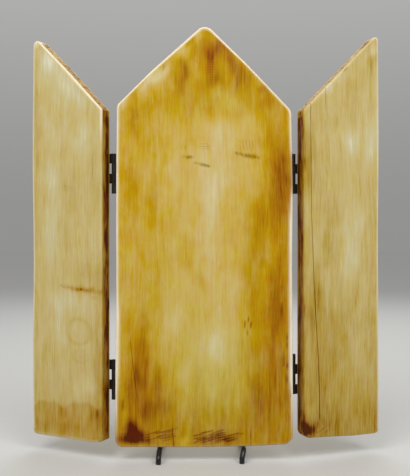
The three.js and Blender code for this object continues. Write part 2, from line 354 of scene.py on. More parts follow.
def strokes(across, up, lines):
    """Thin marks from (across, up) to (across, up): the darkest of
    share * exp(-(distance to the line / half width)^2)."""
    darkest = np.zeros_like(across)
    for x0, z0, x1, z1, half_width, share in lines:
        span2 = (x1 - x0) ** 2 + (z1 - z0) ** 2
        t = np.clip(((across - x0) * (x1 - x0) + (up - z0) * (z1 - z0)) / span2, 0, 1)
        off2 = (across - x0 - t * (x1 - x0)) ** 2 + (up - z0 - t * (z1 - z0)) ** 2
        darkest = np.maximum(darkest, share * np.exp(-off2 / half_width**2))
    return darkest


def scratches(low, high, count, seed, length, rise, half_width, share):
    """Short strokes that rise to the right, scattered over a box from low to high."""
    rng = np.random.default_rng(seed)
    lines = []
    for _ in range(count):
        x, z = rng.uniform(low[0], high[0]), rng.uniform(low[1], high[1])
        reach = length * rng.uniform(0.5, 1.0)
        slope = rise * rng.uniform(0.7, 1.3)
        strength = share * rng.uniform(0.5, 1.0)
        lines.append((x, z, x + reach, z + reach * slope, half_width, strength))
    return lines


def wing_edge(across, up, inner, slope, outer):
    """The level round a wing's edge: the slope's above the line that follows it, the inner edge's
    beside the hinges and the outer edge's elsewhere."""
    return np.where(up > 430 + 0.9 * across, slope, np.where(across < 6, inner, outer))


def nowhere(across, up):
    """A field that is nothing all over a board."""
    return np.zeros_like(across)


def round_the_edge(depth, face, edge, back):
    """A value that is the face's, turns to the edge's round the front arris and to the back's
    round the rear one."""
    front_arris = smooth(depth, 1.0, 3.0)
    rear_arris = smooth(depth, THICKNESS - 3.0, THICKNESS - 1.0)
    value = face * (1 - front_arris) + edge * front_arris
    return value * (1 - rear_arris) + back * rear_arris


def grain_flow(across, up):
    """The across places that the streaks follow: slow bends, with the long grain's own drift."""
    return across + 1.6 * np.sin(up / 71 + 0.8) + 0.9 * np.sin(up / 33 + across / 40)


def back_stain(across, up):
    """The plainer back: an even golden brown with a few slow patches."""
    patches = 0.07 * np.sin(across / 21 + 0.6) * np.sin(up / 61 + 0.4)
    return 0.5 + patches + 0.08 * (1 - smooth(up, 20, 90))


# ---- Centre board ----
SCORCH_TIP = 56  # how high the scorch reaches
SCORCH_BASE = 26  # and where it is widest
RIPPLE_SPACING = 3.2
# Each mark runs from (across, up) to (across, up), with its half width and its share.
EYE_KNOT = [
    (39, 383.2, 52, 379.6, 1.3, 0.46), (50, 380.2, 62, 378.6, 1.9, 0.62),
    (60, 378.6, 68, 377.0, 1.0, 0.38),
]
LEFT_KNOTS = [
    (-22.0, 377.9, -18.0, 378.2, 1.7, 0.55), (-28, 379.0, -14, 377.6, 0.9, 0.30),
    (-13, 371.2, -4, 369.4, 1.0, 0.32), (-5, 369.2, 5, 366.9, 1.5, 0.52),
]
PIN_MARKS = [
    (49.3, 166.0, 49.7, 175.0, 0.75, 0.55), (53.7, 174.5, 54.0, 180.0, 0.7, 0.55),
    (56.2, 166.5, 56.8, 172.0, 0.7, 0.60), (57.6, 168.5, 58.0, 174.0, 0.6, 0.40),
    (52.8, 158.5, 53.0, 161.5, 0.7, 0.45), (51.5, 161.5, 51.8, 164.0, 0.6, 0.25),
]
GRAIN_LINES = [
    (-34, 391.5, -21, 390.6, 0.5, 0.20), (-33, 388.4, -24, 387.9, 0.5, 0.15),
    (-31, 394.6, -20, 394.2, 0.5, 0.13), (-8, 391.6, 6, 391.2, 0.6, 0.20),
    (-7, 394.8, 3, 394.4, 0.5, 0.15), (-4, 388.6, 5, 388.3, 0.5, 0.13),
    (43, 398.3, 60, 397.2, 0.5, 0.16), (44, 395.0, 61, 394.0, 0.5, 0.16),
    (44, 391.8, 62, 390.6, 0.5, 0.18), (43, 388.4, 60, 387.4, 0.5, 0.18),
]
EDGE_SPLITS = [
    (95.6, 219, 96.0, 205, 0.5, 0.50), (94.4, 198, 95.6, 178, 0.5, 0.35),
    (98.2, 186, 98.6, 172, 0.6, 0.45), (103.5, 168, 101.5, 150, 0.5, 0.30),
    (101.5, 150, 103.5, 132, 0.5, 0.30), (98.0, 140, 97.4, 120, 0.5, 0.30),
    (103.4, 130, 101.2, 112, 0.5, 0.35), (101.0, 112, 103.5, 92, 0.5, 0.35),
    (106.0, 98, 106.4, 82, 0.6, 0.40), (-102.5, 76, -102.0, 66, 0.9, 0.30),
    (-52, 493, -50.8, 486, 0.6, 0.30), (-55.5, 58, -54, 40, 0.9, 0.16),
]

SCRATCHED = (
    dict(low=(-68, 26), high=(-47, 38), count=22, seed=5,
         length=15, rise=0.22, half_width=0.8, share=0.40),
    dict(low=(-18, 23), high=(32, 36), count=34, seed=8,
         length=18, rise=0.24, half_width=0.65, share=0.46),
    dict(low=(-104, 26), high=(-72, 36), count=14, seed=11,
         length=24, rise=0.16, half_width=0.8, share=0.34),
)


def scorch(across, up):
    """A candle's scorch near the left foot: a soft triangle that widens downwards from its tip."""
    down = np.clip((SCORCH_TIP - up) / (SCORCH_TIP - SCORCH_BASE), 0, 1)
    x = across + 1.2 * np.sin(up / 2.1) + 0.5 * np.sin(up / 0.9)
    reach = np.abs(x + 90.5 - 2.0 * down) / (3.0 + 21.0 * down)
    fading = smooth(up, 20, 28) * (1 - smooth(up, SCORCH_TIP - 14, SCORCH_TIP + 4))
    return (1 - smooth(reach, 0.25, 1.35)) * fading


def chatter(across, up):
    """A plane's chatter, from 0 to 1: even ripples that rise a little to the right."""
    return 0.5 + 0.5 * np.cos(2 * math.pi * (up - 0.03 * across) / RIPPLE_SPACING)


def centre_relief(across, up):
    """The chatter below the peak, 0.1 mm deep, in one soft patch."""
    return 0.1 * chatter(across, up) * wash(across, up, [(10, 484, 10, 19, 1.0)])


CENTRE_PATCHES = [
    # across, up, half width, half height, amount, tilt
    # below the left slope
    (-62, 479, 22, 8, -0.42, 0.66),
    (-74, 460, 8, 12, -0.20),
    (-28, 510, 14, 7, -0.30, 0.66),
    (-9, 530, 6, 8, -0.20),
    (-101, 444, 8, 7, -0.24),
    (-47, 492, 4, 12, -0.15),
    (-60, 470, 10, 8, -0.10),
    (-96, 448, 10, 12, -0.12),
    (-62, 461, 14, 9, -0.06),
    (-8, 512, 20, 16, 0.05),
    # below the peak
    (16, 513, 17, 15, 0.20),
    (8, 495, 7, 18, 0.12),
    (10, 474, 10, 8, 0.13),
    (-25, 488, 5, 14, 0.17),
    (-31, 468, 7, 16, 0.12),
    (-10, 480, 6, 10, -0.06),
    (35, 496, 8, 16, 0.16),
    (42, 476, 6, 16, 0.16),
    (52, 474, 6, 14, 0.14),
    (72, 461, 10, 4, 0.14, -0.75),
    (76, 446, 10, 10, 0.10),
    (28, 447, 12, 14, -0.14),
    # left shoulder and left side
    (-88, 424, 7, 24, 0.14, 0.15),
    (-72, 428, 8, 22, 0.07),
    (-91, 334, 9, 34, 0.15),
    (-93, 355, 12, 20, 0.06),
    (-92, 412, 9, 16, 0.09),
    (-70, 402, 14, 12, 0.06),
    (-90, 288, 14, 18, 0.06),
    (-66, 318, 8, 36, 0.14),
    (-42, 347, 12, 30, -0.15),
    (-38, 378, 7, 22, -0.07),
    (-90, 255, 10, 22, -0.05),
    (-70, 215, 22, 50, 0.06),
    (-95, 168, 9, 18, 0.08),
    (-34, 205, 12, 34, -0.09),
    (-42, 168, 11, 16, -0.13),
    # middle
    (22, 412, 16, 20, -0.08),
    (0, 350, 10, 30, -0.06),
    (5, 300, 12, 34, -0.06),
    (-5, 403, 26, 12, 0.07),
    (-7, 222, 7, 14, 0.12),
    (-3, 185, 12, 60, 0.08),
    (38, 132, 24, 24, 0.08),
    (-20, 258, 9, 24, 0.09),
    (25, 268, 15, 48, 0.11),
    (20, 195, 12, 28, 0.06),
    (14, 146, 11, 15, -0.10),
    (20, 126, 8, 10, -0.10),
    # right side
    (94, 348, 11, 44, 0.14),
    (61, 366, 18, 36, -0.18),
    (56, 415, 18, 16, -0.11),
    (30, 238, 8, 26, -0.05),
    (72, 215, 10, 34, -0.05),
    (64, 300, 12, 26, 0.05),
    (80, 240, 8, 16, -0.05),
    (56, 238, 10, 34, 0.07),
    (82, 262, 8, 22, -0.12),
    (88, 185, 10, 42, 0.10),
    (62, 205, 10, 30, 0.06),
    (84, 120, 16, 28, 0.04),
    (64, 78, 10, 24, 0.12),
    (85, 72, 14, 18, 0.06),
    # left foot
    (-88, 115, 24, 50, 0.09),
    (-60, 78, 17, 50, 0.08),
    (-92, 72, 22, 12, 0.07),
    (75, 45, 26, 16, 0.05),
    (-76, 170, 9, 26, 0.12),
    (-80, 128, 14, 34, 0.20),
    (-86, 92, 15, 22, 0.12),
    (-58, 96, 10, 20, 0.12),
    (-52, 70, 11, 12, 0.10),
    (-72, 62, 14, 14, 0.12),
    (-90, 40, 10, 16, 0.18),
    # foot's middle
    (-27, 104, 10, 22, -0.10),
    (8, 96, 12, 16, -0.06),
    (38, 96, 14, 26, -0.03),
    (-26, 27, 6, 7, -0.22),
    (14, 29, 22, 8, 0.12),
]


def centre_stain_and_shade(across, up, depth):
    """How deep the golden stain has gone, from 0 cream to 1 dark brown: a ground that darkens at
    the foot, partly deeper stain and partly painted shade where the light falls off downwards, and
    below the peak, a dark right side, a middle wiped thinner, and patches."""
    x, z = ragged(across, up)
    # Darker towards the foot: partly deeper stain, partly painted shade where the light falls off
    # downwards.
    ground = 0.485 + 0.24 * (1 - smooth(z, 15, 150)) + 0.15 * smooth(z, 405, 455)
    ground += 0.25 * smooth(x, 25, 90) * (1 - smooth(z, 380, 450)) * smooth(z, 20, 130)
    middle = np.exp(-(((x - 12) / 30) ** 2)) * smooth(z, 95, 150) * (1 - smooth(z, 405, 440))
    face = ground - 0.21 * middle + wash(x, z, CENTRE_PATCHES)
    face = face + 0.13 * scorch(across, up)
    edge = 0.34 + 0.2 * (1 - smooth(up, 20, 60)) + 0.05 * np.sin(up / 14) * np.sin(across / 23)
    return round_the_edge(depth, face, edge, back_stain(across, up))


def centre_lean(across, up):
    """Where the gold leans to orange, below zero, on the dark sides and the peak, and where it leans to
    green, above zero, in the lower middle and in two smaller patches higher up; the green is partly
    the wood's own cast and partly a painted reflection, a bluish sheen."""
    return wash(across, up, [
        (90, 335, 28, 95, -0.35), (84, 180, 20, 65, -0.45), (-92, 345, 22, 90, -0.3),
        (-86, 115, 20, 65, -0.4), (5, 500, 20, 22, -0.6),
        (12, 100, 50, 75, 1.0), (-40, 195, 28, 70, 0.4), (20, 450, 26, 14, 0.6),
    ])


def centre_worn(across, up, depth, inset):
    """Where the rim is cream, partly wood bared by handling and partly a painted highlight on the eased
    arris: along both slopes and down the sides.
    """
    rim = 1 - smooth(inset, 1.4, 3.2)
    rim *= 0.2 + 0.8 * smooth(up, 26, 75)
    rim *= 1 - 0.75 * smooth(across, 60, 100) * smooth(up, 325, 345) * (1 - smooth(up, 372, 395))
    left = (1 - smooth(across + 111, 2.5, 7.0)) * smooth(up, 75, 130) * (1 - smooth(up, 175, 215))
    right = smooth(across, 101.5, 106) * smooth(up, 75, 110) * (1 - smooth(up, 290, 335))
    return np.clip(rim + 0.75 * left + 0.6 * right, 0, 1) * (1 - smooth(depth, 3.5, 9))


def centre_dark(across, up, depth):
    """Burns, knots, pin marks, splits and scratches, from 0 to 1."""
    burn = 0.42 * scorch(across, up) * (1 - smooth(up, 27, 46))
    scraped = strokes(across, up, [mark for box in SCRATCHED for mark in scratches(**box)])
    ripples = wash(across, up, [(10, 484, 10, 19, 1.0), (36, 492, 6, 8, 0.5)])
    ripples = 0.15 * chatter(across, up) * ripples
    lines = strokes(across, up, EYE_KNOT + LEFT_KNOTS + PIN_MARKS + GRAIN_LINES + EDGE_SPLITS)
    marks = np.maximum(np.maximum(burn, scraped), np.maximum(lines, ripples))
    return np.clip(marks, 0, 1) * (depth < THICKNESS / 2)


CENTRE = {
    "corners": [
        [-111.4, 18, 9], [0, 18, 100], [55, 19.3, 60], [109.5, 21.9, 13], [108.9, 150, 2500],
        [108.3, 262, 1500], [109.2, 330, 1500], [107.2, 435.9, 13.5], [50, 495.8, 120], [0, 544.4, 12.5],
        [-68, 484, 100], [-109.6, 442.6, 8], [-110.6, 300, 2500], [-110.2, 190, 2500], [-111.4, 130, 2500],
    ],
    "patch_ends": [(-111.4, 18), (109.5, 21.9), (107.2, 435.9), (-109.6, 442.6)],
    "easing": 2.4,
    "cracks": [
        {"home": -88.5, "half_width": 0.5, "share": 0.4,
         "up": [77, 113, 153], "across": [-84, -88.5, -93]},
        {"home": -39.5, "half_width": 0.5, "share": 0.6, "up": [8, 46], "across": [-37.5, -41]},
        {"home": 57, "half_width": 0.5, "share": 0.6, "up": [8, 41], "across": [57.2, 56.8]},
    ],
    "crack_depth": 0.8,
    "fine_columns": [(46, 60, 0.6)],
    "fine_rows": [(20, 42, FINE_STEP), (364, 400, FINE_STEP), (464, 504, FINE_STEP)],
    "relief": centre_relief,
    "stain": centre_stain_and_shade,
    "worn": centre_worn,
    "lean": centre_lean,
    "dark": centre_dark,
    "origin": (CENTRE_X, FRONT_Y),
    "outward": 1,
    "setback": 0,
    "axis_depth": 0,
    "swing": 0,
    "seed": 3,
}


# ---- Left wing ----
LEFT_PATCHES = [
    # across, up, half width, half height, amount, tilt
    # along the slope
    (60, 486, 46, 13, -0.17, 0.76),
    (86, 512, 16, 12, -0.12, 0.76),
    (34, 452, 22, 10, -0.08, 0.5),
    (80, 490, 36, 15, -0.12, 0.76),
    (58, 458, 16, 20, -0.09),
    (40, 408, 30, 16, -0.06),
    (100, 475, 8, 14, -0.08),
    (86, 335, 8, 10, 0.07),
    # olive strip by the outer edge
    (104, 380, 6, 190, 0.12),
    (98, 430, 6, 50, 0.06),
    (104, 130, 6, 100, 0.07),
    (84, 175, 5, 22, 0.06),
    (88, 128, 6, 22, 0.06),
    # upper half
    (30, 405, 10, 30, -0.14),
    (46, 420, 8, 16, 0.07),
    (78, 408, 12, 24, -0.10),
    (79, 352, 11, 22, -0.20),
    (78, 296, 10, 42, -0.16),
    (48, 330, 10, 30, 0.10),
    (28, 340, 16, 30, 0.05),
    (54, 275, 8, 22, 0.08),
    (8, 342, 8, 16, 0.07),
    (88, 262, 8, 40, -0.05),
    # about the smear
    (22, 232, 26, 14, 0.12),
    (58, 232, 5, 14, 0.08),
    (58, 196, 26, 15, -0.18),
    (28, 192, 14, 12, -0.07),
    (5, 212, 9, 12, 0.10),
    # rings and lower half
    (66, 160, 12, 28, -0.14),
    (34, 166, 8, 10, -0.05),
    (31, 128, 13, 9, 0.05),
    (30, 90, 16, 15, -0.16),
    (4, 120, 8, 60, 0.13),
    # the foot
    (8, 52, 14, 14, 0.12),
    (60, 36, 50, 8, 0.08),
    (66, 55, 7, 10, 0.05),
    (52, 52, 8, 8, -0.06),
    (20, 44, 24, 20, -0.06),
]
LEFT_RINGS = [
    # a ring's middle across and up, half width, half height and amount
    (34.5, 159, 18, 16, 0.13),
    (31.5, 128, 12.5, 8, 0.08),
]
# The smear, its dark core and a faint knot: from (across, up) to (across, up), half width, share.
SMEAR = [
    (0.5, 210.5, 20, 211.0, 2.4, 0.16), (14, 212.0, 46, 213.2, 3.2, 0.30),
    (22, 211.6, 42, 213.0, 1.8, 0.44), (44, 213.6, 63, 217.0, 2.0, 0.22),
    (8, 203.0, 14, 202.4, 1.8, 0.14),
]
SMEAR_CORE = [
    (22, 211.8, 34, 212.4, 1.1, 0.26), (32, 212.6, 44, 213.4, 0.9, 0.20),
    (46, 214.4, 62, 217.0, 0.9, 0.14),
]
FAINT_KNOT = [
    (48, 341.8, 58, 344.5, 1.2, 0.10), (50, 338.5, 58, 340.0, 0.9, 0.08),
    (10, 396, 13, 380, 0.8, 0.10),
]


def left_stain_and_shade(across, up, depth):
    """The left wing's thin tan stain: a ground that darkens below a wavy tide line near the foot,
    patches, two faint rings, each amount * exp(-((r - 1) / 0.16)^2), and the smear."""
    x, z = ragged(across, up)
    tide = up + 3.2 * np.sin(across / 8.5 + 1.0) + 2.0 * np.sin(across / 4.1)
    tide += 0.06 * (across - 55)
    # The tide line is stain; the further darkening below 150 mm is partly painted shade where the light
    # falls off downwards.
    face = 0.41 + 0.17 * (1 - smooth(tide, 63, 69)) + 0.09 * (1 - smooth(z, 60, 150))
    face = face + 0.06 * (1 - smooth(x, 4, 22)) * (1 - smooth(z, 210, 300))
    face = face + wash(x, z, LEFT_PATCHES)
    for middle_across, middle_up, width, height, amount in LEFT_RINGS:
        r = np.hypot((across - middle_across) / width, (up - middle_up) / height)
        face = face + amount * np.exp(-(((r - 1) / 0.16) ** 2))
    face = face + strokes(across, up + 0.6 * np.sin(across / 2.7), SMEAR)
    # The inner edge is darker stain and also painted shade of the gap beside the centre board, deepening
    # towards the back and the foot; the slope's dark level is partly painted shade on that edge.
    inner = 0.95 - 0.13 * (1 - smooth(depth, 3, 14)) + 0.04 * (1 - smooth(up, 40, 200))
    slope = 0.85 + 0.03 * np.sin(across / 7)
    edge = wing_edge(across, up, inner, slope, 0.30)
    return round_the_edge(depth, face, edge, back_stain(across, up))


def left_lean(across, up):
    """A fuller gold below the tide line, by the inner edge and about the smear."""
    return wash(across, up, [
        (40, 44, 60, 24, -0.7), (4, 150, 10, 90, -0.3), (30, 212, 30, 8, -0.5),
    ])


def left_worn(across, up, depth, inset):
    """Cream along the outer edge, the slope's arris and the tip, and the inner arris above: partly wood
    bared by handling and partly a painted highlight on the eased arrises.
    """
    rim = 1 - smooth(inset, 1.0, 2.4)
    upper = np.where(across < 6, 0.85 * smooth(up, 385, 430), 0.85)
    rim *= upper * np.where(up < 28, 0.4, 1.0)
    tip = wash(across, up, [(106, 537, 9, 9, 1.0)])
    edge_share = np.where(across > 100, 1 - smooth(depth, 6, 12), 1 - smooth(depth, 1.6, 2.4))
    return np.clip(np.maximum(rim * edge_share, tip * (depth < THICKNESS * 0.7)), 0, 1)


def left_dark(across, up, depth):
    """The smear's core, a faint knot and a chip on the rear of the inner arris."""
    marks = strokes(across, up + 0.5 * np.sin(across / 2.7), SMEAR_CORE)
    marks = np.maximum(marks, strokes(across, up, FAINT_KNOT))
    marks *= depth < THICKNESS / 2
    chip = np.exp(-(((up - 194) / 5) ** 2)) * smooth(depth, 13, 17) * (across < 3) * 0.8
    return np.clip(np.maximum(marks, chip), 0, 1)


LEFT = {
    "corners": [
        [0, 23.6, 2.5], [16, 21.2, 20], [108.2, 21.4, 6], [109.7, 131, 2500], [107.5, 250, 2500],
        [110, 380, 2500], [108, 543, 5.5], [54, 492.2, 150], [0, 438.5, 3],
    ],
    "patch_ends": [(0, 23.6), (108.2, 21.4), (108, 543), (0, 438.5)],
    "easing": 1.6,
    "cracks": [
        {"home": 13.4, "half_width": 0.5, "share": 0.35,
         "up": [350, 370, 388], "across": [14.1, 13.4, 12.6]},
    ],
    "crack_depth": 0.5,
    "fine_columns": [],
    "fine_rows": [(206, 220, 1.0), (60, 72, 1.2)],
    "relief": nowhere,
    "stain": left_stain_and_shade,
    "worn": left_worn,
    "lean": left_lean,
    "dark": left_dark,
    "origin": (left_axis[0], left_axis[1]),
    "outward": -1,
    "setback": LEFT_SETBACK,
    "axis_depth": AXIS_DEPTH,
    "swing": left_swing,
    "seed": 21,
}


# ---- Right wing ----
RIGHT_PATCHES = [
    # across, up, half width, half height, amount, tilt
    # along the slope
    (36, 470, 22, 7, -0.18, 0.76),
    (100, 522, 6, 12, -0.12),
    (96, 500, 4, 16, 0.14),
    (66, 452, 8, 24, 0.08),
    (22, 428, 14, 16, 0.05),
    # the amber stain beside the inner edge
    (7, 392, 10, 30, 0.21),
    (5, 362, 9, 26, 0.13),
    (76, 412, 26, 16, -0.05),
    (16, 300, 16, 40, 0.02),
    # pale ways up the middle and by the outer edge
    (100, 408, 12, 40, -0.22),
    (70, 400, 14, 18, -0.18),
    (48, 402, 10, 14, -0.05),
    (62, 352, 9, 40, -0.08),
    (68, 286, 14, 34, -0.20),
    (66, 246, 14, 24, -0.18),
    (84, 296, 6, 22, -0.12),
    (104, 300, 6, 50, 0.08),
    # darker middle strip
    (33, 262, 8, 24, 0.14),
    (46, 305, 6, 14, 0.08),
    (18, 226, 7, 30, 0.16),
    (14, 192, 14, 28, 0.16),
    (36, 165, 22, 50, 0.10),
    (88, 180, 9, 36, -0.06),
    (80, 146, 10, 44, -0.12),
    (70, 190, 10, 20, 0.04),
    (30, 112, 24, 36, 0.06),
    (10, 64, 9, 10, -0.04),
    (16, 92, 12, 28, 0.10),
    (102, 518, 8, 20, 0.13),
    (34, 308, 14, 34, 0.07),
    (8, 170, 8, 20, 0.08),
    (79, 160, 8, 12, 0.07),
    (7, 64, 9, 7, -0.06),
    (36, 470, 8, 8, -0.08),
    (89, 172, 9, 16, 0.10),
    (15, 350, 12, 18, 0.08),
    (93, 388, 7, 12, -0.08),
    (62, 395, 10, 10, -0.05),
    # the foot
    (4, 38, 14, 10, 0.16),
    (34, 52, 26, 20, 0.05),
    (78, 60, 20, 30, -0.05),
]


def right_stain_and_shade(across, up, depth):
    """The right wing's thin tan stain: a ground that darkens below the middle, partly deeper stain and
    partly painted shade where the light falls off downwards, patches, and a darker line beside the
    inner arris."""
    x, z = ragged(across, up)
    # Darker below the middle and at the foot: partly deeper stain, partly painted shade.
    face = 0.465 + 0.13 * (1 - smooth(z, 120, 260)) + 0.19 * (1 - smooth(z, 40, 110))
    face = face + wash(x, z, RIGHT_PATCHES)
    face = face + 0.16 * (1 - smooth(across, 0.5, 4.0)) * (1 - smooth(up, 415, 440))
    # The inner edge is darker stain and also painted shade of the gap beside the centre board, deepening
    # towards the back; the slope's dark level is partly painted shade on that edge.
    inner = 0.96 - 0.13 * (1 - smooth(depth, 3, 14)) + 0.01 * np.sin(up / 9)
    slope = 0.80 + 0.04 * np.sin(across / 7)
    edge = wing_edge(across, up, inner, slope, 0.34)
    return round_the_edge(depth, face, edge, back_stain(across, up))


def right_worn(across, up, depth, inset):
    """Cream along the outer edge and the slope's arris, and a pale patch at the tip: partly wood bared by
    handling and partly a painted highlight on the eased arrises.
    """
    rim = 1 - smooth(inset, 1.0, 2.6)
    outwards = np.where(across < 6, 0.0, 0.15 + 0.6 * smooth(across, 98, 107))
    rim *= outwards * np.where(up < 30, 0.35, 1.0)
    tip = wash(across, up, [(101, 521, 5, 9, 0.25), (95, 518, 4, 5, 0.15)])
    edge_share = np.where(across > 100, 1 - smooth(depth, 6, 12), 1 - smooth(depth, 2.5, 6.0))
    return np.clip(np.maximum(rim * edge_share, tip * (depth < 2)), 0, 1)


def right_dark(across, up, depth):
    """A faint brown inner arris, the burnt foot corner, a nick on the slope, small scratches."""
    arris = (1 - smooth(across, 0.3, 1.8)) * 0.05 * (1 - smooth(up, 415, 438))
    low = wash(across, up + 0.9 * np.sin(across / 2.3), [(2, 42, 8, 8, 0.30), (9, 37, 7, 5, 0.22)])
    lines = strokes(across, up, [
        (57, 490.5, 62, 495.5, 0.7, 0.40), (97, 511, 99, 498, 1.2, 0.14),
        (24, 36.5, 28, 38.5, 0.8, 0.22), (18, 34.0, 23, 35.0, 0.8, 0.16),
        (30, 33.5, 34, 35.5, 0.8, 0.16), (92, 520, 96, 516, 1.0, 0.16),
    ])
    marks = np.maximum(np.maximum(arris, low), lines)
    return np.clip(marks, 0, 1) * (depth < THICKNESS / 2)


RIGHT = {
    "corners": [
        [0, 28, 9], [20, 27.7, 60], [72, 24.9, 100], [109.5, 24.8, 6], [109.7, 90, 2500],
        [108.7, 270, 2500], [109.8, 400, 2500], [108.8, 543.6, 4], [51, 486.8, 100], [0, 437, 6],
    ],
    "patch_ends": [(0, 28), (109.5, 24.8), (108.8, 543.6), (0, 437)],
    "easing": 1.6,
    "cracks": [
        {"home": 15.0, "half_width": 0.75, "share": 0.62,
         "up": [49, 74, 125, 162, 212, 275, 306, 362, 446, 470],
         "across": [22.1, 22.1, 20.7, 17.8, 14.9, 12.1, 10.7, 10, 9.3, 9.2]},
        {"home": 31.0, "half_width": 0.6, "share": 0.50, "up": [436, 470], "across": [31.4, 30.7]},
    ],
    "crack_depth": 0.6,
    "fine_columns": [],
    "fine_rows": [(28, 48, 1.0)],
    "relief": nowhere,
    "stain": right_stain_and_shade,
    "worn": right_worn,
    "lean": nowhere,
    "dark": right_dark,
    "origin": (right_axis[0], right_axis[1]),
    "outward": 1,
    "setback": RIGHT_SETBACK,
    "axis_depth": AXIS_DEPTH,
    "swing": right_swing,
    "seed": 40,
}


# ---- Wood ----
# What each noise does: its size across, into and along the grain in millimetres, its detail, and
# how far it moves the stain's level at most. The first two are coarse and the other two fine.
STREAKS = {
    "cloud": ((14, 30, 42), 3.0, 0.08),
    "wiped": ((7, 20, 110), 3.0, 0.11),
    "brushed": ((2.8, 9, 46), 2.0, 0.09),
    "fibre": ((1.4, 4, 26), 2.0, 0.09),
}
LEAN_SHIFT = 0.015  # how far a full lean turns the hue, as a share of the circle
LEAN_FADE = 0.07  # and how much colour it takes away
MARK_SOAKS = 0.42  # how much a full mark deepens the stain around its dark core
MOTTLE_MM = (13, 25, 17)  # the size of the patches that lean to pink or green
NOISE_SPAN = (0.3, 0.7)  # where nearly all of a noise's values lie
# Cream of bare wood, also laid on the eased arrises as a painted highlight.
CREAM_WEAR_AND_HIGHLIGHT = "f0e5cb"
MARK_BROWN = "522303"


def stained_wood(name, palette, amount, fine_amount, seed):
    """Pine under a wiped oil stain with a thin wax: the stain lies in soft streaks along the grain
    and in small clouds, so no two hand's breadths are the same gold; the rim is cream, partly wood
    bared by handling and partly a painted highlight on the eased arrises, and knots, burns and splits
    are dark brown with no shine in wood that has soaked up more stain. The stain's level also holds
    painted shade, darker towards the foot and in the gaps beside the hinges, and the green lean is
    partly a painted bluish sheen.
    amount scales the coarse streaks and fine_amount the fine ones."""
    material, tree, shader = new_material(name)
    place = node(tree, "ShaderNodeAttribute", attribute_name="place").outputs["Vector"]
    level, worn, dark, lean = (
        node(tree, "ShaderNodeAttribute", attribute_name=field).outputs["Fac"]
        for field in ("stain", "worn", "dark", "lean"))

    def noise(size, detail, shift):
        mapped = node(tree, "ShaderNodeMapping", {
            "Vector": place, "Location": (seed + shift, 0, 1.3 * seed), "Scale": [1 / mm for mm in size]})
        return node(tree, "ShaderNodeTexNoise", {
            "Vector": mapped.outputs["Vector"], "Scale": 1.0, "Detail": detail, "Roughness": 0.6,
            "Distortion": 0.3,
        }).outputs["Fac"]

    def ranged(value, low, high):
        """The noise's usual span spread from low to high."""
        return node(tree, "ShaderNodeMapRange", {
            "Value": value, "From Min": NOISE_SPAN[0], "From Max": NOISE_SPAN[1],
            "To Min": low, "To Max": high,
        }).outputs["Result"]

    level = node(tree, "ShaderNodeMath", {
        0: dark, 1: MARK_SOAKS, 2: level}, operation="MULTIPLY_ADD").outputs[0]
    noises = {}
    for i, (key, (size, detail, share)) in enumerate(STREAKS.items()):
        noises[key] = noise(size, detail, 3.7 * i)
        reach = share * (amount if key in ("cloud", "wiped") else fine_amount) / 2
        moved = ranged(noises[key], -reach, reach)
        level = node(tree, "ShaderNodeMath", {0: level, 1: moved}, operation="ADD").outputs[0]

    ramp = node(tree, "ShaderNodeValToRGB", {"Fac": level})
    while len(ramp.color_ramp.elements) < len(palette):
        ramp.color_ramp.elements.new(0.5)
    for element, (position, tone) in zip(ramp.color_ramp.elements, palette):
        element.position = position
        element.color = linear(tone)
    mottle = noise(MOTTLE_MM, 2.0, 31.0)
    # A lean above zero turns the gold green and greyer: partly a painted reflection, a bluish sheen.
    hue = node(tree, "ShaderNodeMath", {
        0: lean, 1: LEAN_SHIFT, 2: ranged(mottle, 0.492, 0.508)}, operation="MULTIPLY_ADD").outputs[0]
    saturation = node(tree, "ShaderNodeMath", {
        0: lean, 1: -LEAN_FADE, 2: ranged(noises["cloud"], 0.93, 1.06),
    }, operation="MULTIPLY_ADD").outputs[0]
    colour = node(tree, "ShaderNodeHueSaturation", {
        "Color": ramp.outputs["Color"], "Hue": hue, "Saturation": saturation,
    }).outputs["Color"]

    # The cream rims: partly wear, partly a painted highlight on the eased arrises.
    wear_and_highlight_share = node(tree, "ShaderNodeMath", {
        0: worn, 1: ranged(noises["brushed"], 0.7, 1.05)}, operation="MULTIPLY").outputs[0]
    broken = node(tree, "ShaderNodeMath", {
        0: dark, 1: ranged(noises["fibre"], 0.75, 1.1)}, operation="MULTIPLY").outputs[0]
    for share, tone in ((wear_and_highlight_share, CREAM_WEAR_AND_HIGHLIGHT), (broken, MARK_BROWN)):
        colour = node(tree, "ShaderNodeMix", {
            0: share, 6: colour, 7: linear(tone)}, data_type="RGBA").outputs[2]
    tree.links.new(colour, shader.inputs["Base Color"])

    tree.links.new(ranged(noises["brushed"], 0.42, 0.58), shader.inputs["Roughness"])
    shader.inputs["Specular IOR Level"].default_value = 0.08
    grain = node(tree, "ShaderNodeMath", {
        0: noises["fibre"], 1: noises["brushed"]}, operation="ADD").outputs[0]
    bump = node(tree, "ShaderNodeBump", {"Height": grain, "Strength": 0.3, "Distance": 0.00025})
    tree.links.new(bump.outputs["Normal"], shader.inputs["Normal"])
    return material


# The stain's colour at each level, from bare cream to the darkest brown.
GOLDEN = [
    (0.00, "e0d3ac"), (0.12, "d2c090"), (0.24, "cab67a"), (0.36, "c8ab5a"),
    (0.48, "c3a342"), (0.58, "bd9924"), (0.68, "b48b0c"), (0.78, "a87803"),
    (0.88, "945d02"), (0.95, "7a4301"), (1.00, "5a2001"),
]
TAN = [
    (0.00, "e2dcc4"), (0.12, "d1c8a1"), (0.24, "c9bd8d"), (0.36, "c9b67a"),
    (0.48, "c3ad6c"), (0.60, "baa158"), (0.72, "b1933d"), (0.80, "a88630"),
    (0.87, "98701c"), (0.93, "7e4806"), (0.97, "622b03"), (1.00, "4f2201"),
]


